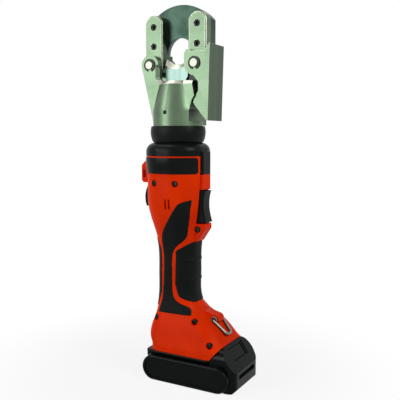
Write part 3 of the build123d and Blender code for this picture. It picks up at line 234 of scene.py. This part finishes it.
def noise(tree_nodes, links, vector, scale, detail):
    """A noise texture's value."""
    node = tree_nodes.new("ShaderNodeTexNoise")
    node.inputs["Scale"].default_value = scale
    node.inputs["Detail"].default_value = detail
    links.new(vector, node.inputs["Vector"])
    return node.outputs["Fac"]


def ramp(tree_nodes, links, value, low, high):
    """Maps a noise value to a colour between two stops."""
    node = tree_nodes.new("ShaderNodeValToRGB")
    for element, position, colour in zip(node.color_ramp.elements, NOISE_STOPS, (low, high)):
        element.position = position
        element.color = colour
    links.new(value, node.inputs["Fac"])
    return node.outputs["Color"]


def grey(value):
    """A number as a colour."""
    return (value, value, value, 1)


def bump(tree_nodes, links, shader, height, strength, distance):
    """Fine relief from a height value."""
    node = tree_nodes.new("ShaderNodeBump")
    node.inputs["Strength"].default_value = strength
    node.inputs["Distance"].default_value = distance
    links.new(height, node.inputs["Height"])
    links.new(node.outputs["Normal"], shader.inputs["Normal"])


def grained(name, kind, stretch, dark, light, rough_low, rough_high, grain, relief):
    """A material with shade patches, uneven gloss and a fine relief: material, shader."""
    patch, detail, depth = kind
    material, tree_nodes, links, shader = tree_of(name)
    vector = place(tree_nodes, links, stretch)
    broad = noise(tree_nodes, links, vector, patch, PATCH_DETAIL)
    fine = noise(tree_nodes, links, vector, grain, detail)
    links.new(ramp(tree_nodes, links, broad, (*dark, 1), (*light, 1)), shader.inputs["Base Color"])
    links.new(ramp(tree_nodes, links, fine, grey(rough_low), grey(rough_high)), shader.inputs["Roughness"])
    bump(tree_nodes, links, shader, fine, relief, depth)
    return material, shader


def moulded(name, shine, *look):
    """Moulded plastic or rubber."""
    material, shader = grained(name, MOULD_GRAIN, EVEN, *look)
    shader.inputs["Specular IOR Level"].default_value = shine
    return material


def metal(name, stretch, *look):
    """Plated or ground metal, with streaks or a blasted grain."""
    material, shader = grained(name, METAL_GRAIN, stretch, *look)
    shader.inputs["Metallic"].default_value = 1.0
    return material


# Moulded finishes: shine, dark, light, lowest and highest roughness, grain, relief
MOULDED = {
    "housing_orange": (0.03, (0.64, 0.023, 0.0003), (0.79, 0.035, 0.0006), 0.34, 0.46, 1800, 0.10),
    "black_plastic": (0.065, (0.0022, 0.0034, 0.0031), (0.0042, 0.0062, 0.0057), 0.26, 0.36, 1600, 0.06),
    "grip_rubber": (0.07, (0.0022, 0.0036, 0.0032), (0.0045, 0.0068, 0.006), 0.48, 0.64, 1000, 0.3),
    "collar_rubber": (0.08, (0.003, 0.004, 0.0036), (0.006, 0.007, 0.0068), 0.36, 0.50, 1000, 0.2),
    "seal_rubber": (0.3, (0.010, 0.010, 0.010), (0.02, 0.02, 0.02), 0.5, 0.6, 900, 0.1),
    "board_green": (0.5, (0.01, 0.10, 0.03), (0.02, 0.16, 0.05), 0.35, 0.5, 700, 0.1),
    "cell_wrap": (0.5, (0.02, 0.10, 0.22), (0.03, 0.14, 0.30), 0.3, 0.4, 700, 0.05),
    "pack_plastic": (0.07, (0.0012, 0.0022, 0.0022), (0.0026, 0.0042, 0.0042), 0.14, 0.22, 1600, 0.05),
}
# Metal finishes: stretch, dark, light, lowest and highest roughness, grain, relief
METALS = {
    "head_metal": (EVEN, (0.094, 0.142, 0.088), (0.120, 0.174, 0.112), 0.33, 0.43, 2200, 0.10),
    "blade_steel": (EVEN, (0.014, 0.028, 0.020), (0.042, 0.073, 0.054), 0.32, 0.44, 1500, 0.15),
    "pin_steel": (EVEN, (0.14, 0.15, 0.122), (0.19, 0.20, 0.165), 0.24, 0.34, 2500, 0.05),
    "screw_steel": (EVEN, (0.010, 0.013, 0.012), (0.024, 0.028, 0.026), 0.30, 0.45, 1500, 0.08),
    "drive_metal": (EVEN, (0.50, 0.50, 0.52), (0.62, 0.62, 0.64), 0.35, 0.5, 900, 0.1),
    "motor_steel": (UPRIGHT, (0.35, 0.35, 0.37), (0.45, 0.45, 0.47), 0.3, 0.4, 900, 0.1),
    "ground_blade": (UPRIGHT, (0.115, 0.172, 0.150), (0.150, 0.212, 0.187), 0.30, 0.40, 1800, 0.10),
    # bare steel for bevels and rims, lighter than the plating: partly real, partly painted highlight
    "bare_steel_highlight": (EVEN, (0.42, 0.43, 0.35), (0.56, 0.56, 0.47), 0.28, 0.40, 2200, 0.08),
    # streaked plate darkened as painted shade, for the head's +X sides
    "painted_shade_plate": (UPRIGHT, (0.040, 0.064, 0.038), (0.085, 0.122, 0.080), 0.30, 0.42, 1500, 0.15),
}
FINISH = {name: moulded(name, *row) for name, row in MOULDED.items()}
FINISH.update({name: metal(name, *row) for name, row in METALS.items()})
# Nodes whose finish isn't that of their slot
NODE_FINISH = {
    "lower_blade": "ground_blade",
    "battery_case": "pack_plastic", "battery_cover": "pack_plastic", "battery_button": "pack_plastic",
}


def finish_of(node):
    """A CAD node's material."""
    return FINISH[NODE_FINISH.get(node, SLOT_OF[node])]


def dress(piece, body, material):
    """Links a new piece, gives it its material and lets it ride on its body."""
    bpy.context.scene.collection.objects.link(piece)
    piece.data.materials.append(material)
    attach(piece, body)
    return piece


def from_bmesh(name, mesh_data):
    """An object made of a bmesh, shaded smooth but for its hard edges."""
    mesh = bpy.data.meshes.new(name)
    bmesh.ops.recalc_face_normals(mesh_data, faces=mesh_data.faces)
    mesh_data.to_mesh(mesh)
    mesh_data.free()
    mesh.polygons.foreach_set("use_smooth", [True] * len(mesh.polygons))
    mesh.set_sharp_from_angle(angle=EASE_ANGLE)
    return bpy.data.objects.new(name, mesh)


def welded(node):
    """A CAD node's mesh as a bmesh, with its split corners joined again."""
    mesh_data = bmesh.new()
    mesh_data.from_mesh(nodes[node].data)
    bmesh.ops.remove_doubles(mesh_data, verts=mesh_data.verts, dist=WELD)
    return mesh_data


def surface_of(node):
    """A CAD node's surface, for rays."""
    mesh_data = welded(node)
    surface = BVHTree.FromBMesh(mesh_data)
    mesh_data.free()
    return surface


def loft(mesh_data, rings):
    """Joins rings of vertices by faces and closes both ends."""
    for low, high in zip(rings, rings[1:]):
        for k in range(len(low)):
            mesh_data.faces.new((low[k - 1], low[k], high[k], high[k - 1]))
    mesh_data.faces.new(rings[0])
    mesh_data.faces.new(rings[-1])


def prism(outline, half_w):
    """A bmesh of an outline in the XZ plane, given in mm, drawn out to both sides."""
    mesh_data = bmesh.new()
    sides = (-half_w, half_w)
    loft(mesh_data, [[mesh_data.verts.new((x * MM, y * MM, z * MM)) for x, z in outline] for y in sides])
    bmesh.ops.recalc_face_normals(mesh_data, faces=mesh_data.faces)
    return mesh_data


def milled(body, cutter):
    """One bmesh less another."""
    pair = []
    for name, mesh_data in (("body", body), ("cutter", cutter)):
        mesh = bpy.data.meshes.new(name)
        mesh_data.to_mesh(mesh)
        mesh_data.free()
        pair.append(bpy.data.objects.new(name, mesh))
        bpy.context.scene.collection.objects.link(pair[-1])
    cut = pair[0].modifiers.new("cut", "BOOLEAN")
    cut.operation = "DIFFERENCE"
    cut.object = pair[1]
    result = bmesh.new()
    result.from_object(pair[0], bpy.context.evaluated_depsgraph_get())
    for item in pair:
        bpy.data.meshes.remove(item.data)
    return result


def shaped(node):
    """A CAD node's mesh as a bmesh of whole faces, with the yoke's flat and the trigger's long tip."""
    mesh_data = welded(node)
    if node == "yoke":
        mesh_data = milled(mesh_data, prism(FLAT_XZ, FLAT_HALF_W))
    if node == "trigger":
        for vertex in mesh_data.verts:
            vertex.co.z -= TIP_DRAW * max(0, TIP_FROM_Z * MM - vertex.co.z)
    bmesh.ops.dissolve_limit(
        mesh_data, angle_limit=FACET_ANGLE, verts=mesh_data.verts, edges=mesh_data.edges
    )
    return mesh_data


def mark_faces(mesh_data, node):
    """Gives the bevels their lighter bare steel, partly painted highlight, and the +X sides their painted shade.
    """
    floor, ceiling, low, high = BEVELS.get(node, NO_BEVEL)
    for face in mesh_data.faces:
        steep = max(abs(face.normal.y), face.normal.z)
        in_band = floor * MM < face.calc_center_median().z < ceiling * MM
        face.material_index = BARE_HIGHLIGHT if in_band and low < steep < high else OWN
        # a +X side takes the darker plate: painted shade
        if node in PAINTED_SHADE_SIDES and face.normal.x > PAINTED_SHADE_FROM:
            face.material_index = SHADE_PLATE


def mark_edges(mesh_data, node):
    """Weighs the hard edges, which are rounded, and keeps the yoke's large flats crisp."""
    weight = mesh_data.edges.layers.float.new("bevel_weight_edge")
    for edge in mesh_data.edges:
        edge.smooth = True
        angle = edge.calc_face_angle(0)
        if angle > EASE_ANGLE:
            edge[weight] = 1.0
        elif node == "yoke" and angle > CREASE_ANGLE:
            edge.smooth = max(face.calc_area() for face in edge.link_faces) < FLAT_AREA


def ease(node, width):
    """A copy of a CAD node whose hard edges are rounded, which stands for it."""
    mesh_data = shaped(node)
    mark_faces(mesh_data, node)
    mark_edges(mesh_data, node)
    mesh = bpy.data.meshes.new(node + "_eased")
    mesh_data.to_mesh(mesh)
    mesh_data.free()
    for name in ("custom_normal", "sharp_face"):
        if name in mesh.attributes:
            mesh.attributes.remove(mesh.attributes[name])
    mesh.polygons.foreach_set("use_smooth", [True] * len(mesh.polygons))
    piece = bpy.data.objects.new(node + "_eased", mesh)
    bevel = piece.modifiers.new("ease", "BEVEL")
    bevel.width = width * MM
    bevel.segments = EASE_SEGMENTS
    bevel.limit_method = "WEIGHT"
    bevel.use_clamp_overlap = True
    # rounded edges of the listed nodes take the lighter steel, a painted highlight
    bevel.material = BARE_HIGHLIGHT if node in HIGHLIGHT_EDGES else AS_FACE
    piece.modifiers.new("normals", "WEIGHTED_NORMAL").keep_sharp = True
    dress(piece, BODY_OF[node], finish_of(node))
    # lighter steel for bevels and rims, partly painted highlight
    if node in HIGHLIGHT_EDGES or node in BEVELS:
        mesh.materials.append(FINISH["bare_steel_highlight"])
    # the darker plate for the +X sides is painted shade
    if node in PAINTED_SHADE_SIDES:
        mesh.materials.append(FINISH["painted_shade_plate"])
    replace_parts(piece, node)


def islands(node):
    """Boxes (low corner, high corner) of the separate solids of a CAD node."""
    mesh_data = welded(node)
    left = set(mesh_data.verts)
    boxes = []
    while left:
        todo = [left.pop()]
        seen = [todo[0].co.copy()]
        while todo:
            vertex = todo.pop()
            for edge in vertex.link_edges:
                other = edge.other_vert(vertex)
                if other in left:
                    left.remove(other)
                    todo.append(other)
                    seen.append(other.co.copy())
        low = Vector(min(point[k] for point in seen) for k in range(3))
        high = Vector(max(point[k] for point in seen) for k in range(3))
        boxes.append((low, high))
    mesh_data.free()
    return boxes


def screw_caps():
    """Domed rims with a six-lobed recess on the heads of the housing screws."""
    mesh_data = bmesh.new()
    for low, high in islands("housing_screws"):
        middle = (low + high) / 2
        rings = []
        for radius, lobe, lift in CAP_RINGS:
            ring = []
            for step in range(CAP_STEPS):
                turn = 2 * math.pi * step / CAP_STEPS
                reach = radius + lobe * LOBE_DEPTH * math.cos(LOBES * turn)
                spot = (reach * math.cos(turn) * MM, -lift * CAP_H * MM, reach * math.sin(turn) * MM)
                ring.append(mesh_data.verts.new(Vector((middle.x, low.y, middle.z)) + Vector(spot)))
            rings.append(ring)
        loft(mesh_data, rings)
    dress(from_bmesh("screw_caps", mesh_data), "handle", FINISH["screw_steel"])


def rounded(outline):
    """A closed outline with its corners cut."""
    for _ in range(CUT_ROUNDS):
        outline = [
            here.lerp(after, share)
            for here, after in zip(outline, outline[1:] + outline[:1]) for share in CUT_SHARES
        ]
    return outline


def inside(spot, outline):
    """Whether a spot lies inside a closed outline."""
    hits = 0
    for here, after in zip(outline, outline[1:] + outline[:1]):
        if (here.y > spot.y) != (after.y > spot.y):
            hits += spot.x < here.x + (after.x - here.x) * (spot.y - here.y) / (after.y - here.y)
    return hits % 2 == 1


def skin_spots(edge):
    """Points of a skin in the XZ plane, the outline first, and how far each lies from the edge."""
    spots, depths = [], []
    for depth in SKIN_RINGS:
        for before, here, after in zip(edge[-1:] + edge[:-1], edge, edge[1:] + edge[:1]):
            along = (after - before).normalized()
            spots.append(here + Vector((-along.y, along.x)) * depth)
            depths.append(depth)
    low = Vector((min(spot.x for spot in edge), min(spot.y for spot in edge)))
    high = Vector((max(spot.x for spot in edge), max(spot.y for spot in edge)))
    for column in range(int((high.x - low.x) / SKIN_STEP) + 1):
        for row in range(int((high.y - low.y) / SKIN_STEP) + 1):
            spot = low + Vector((column, row)) * SKIN_STEP
            if inside(spot, edge) and min((spot - corner).length for corner in edge) > SKIN_CLEAR:
                spots.append(spot)
                depths.append(SKIN_EDGE)
    return spots, depths


def skin(name, outline, side, height):
    """A rubber skin with rounded edges on one side of the housing, cut to an outline in the XZ plane."""
    surface = surface_of("near_shell" if side < 0 else "far_shell")
    edge = rounded([Vector(corner) for corner in outline])
    spots, depths = skin_spots(edge)
    border = [(k, (k + 1) % len(edge)) for k in range(len(edge))]
    flat, _, faces, origin, _, _ = delaunay_2d_cdt(spots, border, [], INSIDE_ONLY, SKIN_MERGE)
    mesh_data = bmesh.new()
    verts, roots = [], []
    for spot, sources in zip(flat, origin):
        start = Vector((spot.x * MM, side * RAY_START, spot.y * MM))
        hit, normal, _, _ = surface.ray_cast(start, Vector((0, -side, 0)))
        depth = depths[sources[0]] if sources else SKIN_EDGE
        rise = (height + SKIN_SINK) * math.sqrt(1 - (1 - min(1, depth / SKIN_EDGE)) ** 2) - SKIN_SINK
        verts.append(mesh_data.verts.new(hit + normal * rise * MM))
        roots.append(mesh_data.verts.new(hit - normal * SKIN_ROOT * MM))
    for corners in faces:
        mesh_data.faces.new([verts[k] for k in corners])
        mesh_data.faces.new([roots[k] for k in reversed(corners)])
    place_of = {source: k for k, sources in enumerate(origin) for source in sources}
    for here, after in border:
        here, after = place_of[here], place_of[after]
        mesh_data.faces.new((verts[after], verts[here], roots[here], roots[after]))
    return dress(from_bmesh(name, mesh_data), "handle", FINISH["grip_rubber"])


def grips():
    """Side grips of rubber, and the round lower corners of the front grip."""
    for side, name in ((-1, "near"), (1, "far")):
        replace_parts(skin("grip_" + name, SIDE_GRIP_XZ, side, SKIN_H), "side_grip_" + name)
        skin("front_corner_" + name, FRONT_CORNER_XZ, side, CORNER_H)


def finger_ribs():
    """Low rubber ribs that follow the front grip's surface and fade out at both sides."""
    surface = surface_of("front_grip")
    mesh_data = bmesh.new()
    for height in RIB_HEIGHTS:
        rings = []
        for step in range(RIB_STEPS + 1):
            share = 2 * step / RIB_STEPS - 1
            turn = share * RIB_SWEEP
            out = Vector((math.cos(turn), math.sin(turn), 0))
            fade = math.sqrt(math.cos(share * math.pi / 2))
            row, roots = [], []
            for k in range(RIB_ACROSS + 1):
                lean = 2 * k / RIB_ACROSS - 1
                start = Vector((GRIP_AXIS_X * MM, 0, (height + lean * RIB_HALF_W) * MM)) + out * RAY_START
                hit, normal, _, _ = surface.ray_cast(start, -out)
                rise = RIB_RISE * fade * math.cos(lean * math.pi / 2) - RIB_SINK
                row.append(mesh_data.verts.new(hit + normal * rise * MM))
                roots.append(mesh_data.verts.new(hit - normal * RIB_ROOT * MM))
            rings.append(row + roots[::-1])
        loft(mesh_data, rings)
    dress(from_bmesh("finger_ribs", mesh_data), "handle", FINISH["grip_rubber"])


def coil_bushes():
    """Wound wire bushes between the boss of the bail and its legs."""
    pivot = next(joint for joint in frame["joints"] if joint["name"] == "bail_swing")["pos_m"]
    mesh_data = bmesh.new()
    for side in (-1, 1):
        rings = []
        for step in range(COIL_TURNS * COIL_STEPS + 1):
            turn = 2 * math.pi * step / COIL_STEPS
            out = Vector((math.cos(turn), 0, math.sin(turn)))
            middle = Vector(pivot) + out * COIL_R * MM
            middle.y = side * (COIL_NEAR + COIL_PITCH * step / COIL_STEPS) * MM
            ring = []
            for k in range(WIRE_STEPS):
                roll = 2 * math.pi * k / WIRE_STEPS
                ring.append(mesh_data.verts.new(
                    middle + (out * math.cos(roll) + Vector((0, math.sin(roll), 0))) * COIL_WIRE * MM
                ))
            rings.append(ring)
        loft(mesh_data, rings)
    dress(from_bmesh("coil_bushes", mesh_data), "handle", FINISH["pin_steel"])


def shaded_latch_stop():
    """Stop below the latch arm, which the fork's slot takes, near-black as painted shade in the slot."""
    edge = rounded([Vector(corner) for corner in STOP_XZ])
    middle = sum(edge, Vector((0, 0))) / len(edge)
    front, back = STOP_Y
    mesh_data = bmesh.new()
    rings = []
    for y, inset in ((front, STOP_EASE), (front + STOP_EASE, 0), (back - STOP_EASE, 0), (back, STOP_EASE)):
        spots = [spot + (middle - spot).normalized() * inset for spot in edge]
        rings.append([mesh_data.verts.new((spot.x * MM, y * MM, spot.y * MM)) for spot in spots])
    loft(mesh_data, rings)
    # its dark screw steel is painted shade for the slot
    dress(from_bmesh("shaded_latch_stop", mesh_data), "blade_frame", FINISH["screw_steel"])


def collar_lip():
    """Rubber lip that closes the turning gap between the collar and the nose."""
    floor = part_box("nose_cover")[1][2] / MM + LIP_GAP
    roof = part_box("collar")[0][2] / MM + LIP_SEAT
    profile = (
        (LIP_IN_R, floor), (LIP_OUT_R - LIP_EDGE, floor), (LIP_OUT_R, floor + LIP_EDGE),
        (LIP_OUT_R, roof), (LIP_IN_R, roof),
    )
    mesh_data = bmesh.new()
    rings = []
    for step in range(LIP_STEPS):
        turn = 2 * math.pi * step / LIP_STEPS
        out = Vector((math.cos(turn), math.sin(turn), 0))
        rings.append([mesh_data.verts.new((out * r + Vector((0, 0, z))) * MM) for r, z in profile])
    for low, high in zip(rings[-1:] + rings[:-1], rings):
        for k in range(len(profile)):
            mesh_data.faces.new((low[k - 1], low[k], high[k], high[k - 1]))
    dress(from_bmesh("collar_lip", mesh_data), "head", FINISH["collar_rubber"])


def rail_heel():
    """Rounded heel at the rear of the rail, which follows the round end of the pack."""
    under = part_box("battery_rail")[0][2] / MM
    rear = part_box("battery_rail")[0][0] / MM
    pack_r = HEEL_R - HEEL_GAP
    middle_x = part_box("battery_case")[0][0] / MM + pack_r
    outline = []
    for step in range(HEEL_WRAP_STEPS + 1):
        turn = math.radians(90 + HEEL_WRAP * step / HEEL_WRAP_STEPS)
        outline.append((middle_x + HEEL_R * math.cos(turn), pack_r + HEEL_R * math.sin(turn)))
    tip_x, tip_z = outline[-1]
    top = under + HEEL_SEAT
    reach, rise = tip_x - rear - HEEL_INSET, top - tip_z
    for step in range(1, HEEL_ROUND + 1):
        turn = math.radians(90 * step / HEEL_ROUND)
        outline.append((tip_x - reach * math.sin(turn), top - rise * math.cos(turn)))
    outline.append((outline[0][0], top))
    corner = []  # distance from the middle plane, and how far the rear is drawn in there
    for step in range(HEEL_ROUND):
        turn = math.radians(90 * step / (HEEL_ROUND - 1))
        corner.append((
            HEEL_HALF_W - HEEL_CORNER * (1 - math.sin(turn)), HEEL_CORNER * (1 - math.cos(turn)),
        ))
    mesh_data = bmesh.new()
    rows = []
    for y, inset in [(-y, inset) for y, inset in reversed(corner)] + [(0, 0)] + corner:
        rows.append([mesh_data.verts.new((max(x, rear + inset) * MM, y * MM, z * MM)) for x, z in outline])
    loft(mesh_data, rows)
    dress(from_bmesh("rail_heel", mesh_data), "handle", FINISH["black_plastic"])


def seen_directly(tree_nodes, links):
    """1 where the eye, a reflection or glass sees the surface, 0 where it only lights others."""
    path = tree_nodes.new("ShaderNodeLightPath")
    value = path.outputs["Is Camera Ray"]
    for name in ("Is Glossy Ray", "Is Transmission Ray"):
        either = tree_nodes.new("ShaderNodeMath")
        either.operation = "MAXIMUM"
        links.new(value, either.inputs[0])
        links.new(path.outputs[name], either.inputs[1])
        value = either.outputs["Value"]
    return value


def stage_floor():
    """Pale floor that fades to plain white away from the object."""
    mesh = bpy.data.meshes.new("floor")
    corners = [(x * FLOOR_REACH, y * FLOOR_REACH, 0) for x, y in ((-1, -1), (1, -1), (1, 1), (-1, 1))]
    mesh.from_pydata(corners, [], [(0, 1, 2, 3)])
    floor = bpy.data.objects.new("floor", mesh)
    bpy.context.scene.collection.objects.link(floor)
    material, tree_nodes, links, shader = tree_of("floor")
    shader.inputs["Base Color"].default_value = grey(FLOOR_GREY)
    shader.inputs["Roughness"].default_value = FLOOR_ROUGH
    white = tree_nodes.new("ShaderNodeEmission")
    white.inputs["Color"].default_value = (1, 1, 1, 1)
    coord = tree_nodes.new("ShaderNodeTexCoord")
    length = tree_nodes.new("ShaderNodeVectorMath")
    length.operation = "LENGTH"
    links.new(coord.outputs["Object"], length.inputs[0])
    fade = tree_nodes.new("ShaderNodeMapRange")
    fade.interpolation_type = "SMOOTHSTEP"
    fade.inputs["From Min"].default_value, fade.inputs["From Max"].default_value = FLOOR_FADE
    fade.inputs["To Min"].default_value = FLOOR_WHITE
    links.new(length.outputs["Value"], fade.inputs["Value"])
    shown = tree_nodes.new("ShaderNodeMath")
    shown.operation = "MULTIPLY"
    links.new(fade.outputs["Result"], shown.inputs[0])
    links.new(seen_directly(tree_nodes, links), shown.inputs[1])
    mix = tree_nodes.new("ShaderNodeMixShader")
    links.new(shown.outputs["Value"], mix.inputs["Fac"])
    links.new(shader.outputs["BSDF"], mix.inputs[1])
    links.new(white.outputs["Emission"], mix.inputs[2])
    links.new(mix.outputs["Shader"], tree_nodes["Material Output"].inputs["Surface"])
    mesh.materials.append(material)


def sky():
    """White to the eye and in reflections, softer as a light."""
    world = bpy.data.worlds.new("studio")
    bpy.context.scene.world = world
    world.use_nodes = True
    tree = world.node_tree
    back = tree.nodes["Background"]
    back.inputs["Color"].default_value = (1, 1, 1, 1)
    back.inputs["Strength"].default_value = SKY
    seen = tree.nodes.new("ShaderNodeBackground")
    seen.inputs["Color"].default_value = (1, 1, 1, 1)
    seen.inputs["Strength"].default_value = 1.0
    mix = tree.nodes.new("ShaderNodeMixShader")
    tree.links.new(seen_directly(tree.nodes, tree.links), mix.inputs["Fac"])
    tree.links.new(back.outputs["Background"], mix.inputs[1])
    tree.links.new(seen.outputs["Background"], mix.inputs[2])
    tree.links.new(mix.outputs["Shader"], tree.nodes["World Output"].inputs["Surface"])


def soft_box(name, place_at, size, power):
    """A square studio light turned to the object's middle."""
    lamp = bpy.data.lights.new(name, "AREA")
    lamp.size = size
    lamp.energy = power
    obj = bpy.data.objects.new(name, lamp)
    obj.location = place_at
    obj.rotation_euler = (MIDDLE - Vector(place_at)).to_track_quat("-Z", "Y").to_euler()
    bpy.context.scene.collection.objects.link(obj)


def camera():
    """The photograph's viewpoint."""
    data = bpy.data.cameras.new("camera")
    data.sensor_width = SENSOR_MM
    data.lens = FOCAL_PX / IMAGE_PX * SENSOR_MM
    data.clip_start = CLIP_START
    obj = bpy.data.objects.new("camera", data)
    forward = Vector((-math.sin(YAW) * math.cos(PITCH), math.cos(YAW) * math.cos(PITCH), -math.sin(PITCH)))
    obj.location = EYE
    obj.rotation_euler = forward.to_track_quat("-Z", "Y").to_euler()
    bpy.context.scene.collection.objects.link(obj)
    bpy.context.scene.camera = obj


for cad_node, cad_object in nodes.items():
    cad_object.data.materials.clear()
    cad_object.data.materials.append(finish_of(cad_node))
for cad_node, ease_width in EASED_MM.items():
    ease(cad_node, ease_width)
screw_caps()
grips()
finger_ribs()
coil_bushes()
shaded_latch_stop()
collar_lip()
rail_heel()

stage_floor()
sky()
for lamp_name, (lamp_at, lamp_size, lamp_power) in LAMPS.items():
    soft_box(lamp_name, lamp_at, lamp_size, lamp_power)
camera()
bpy.context.scene.view_settings.view_transform = "Standard"
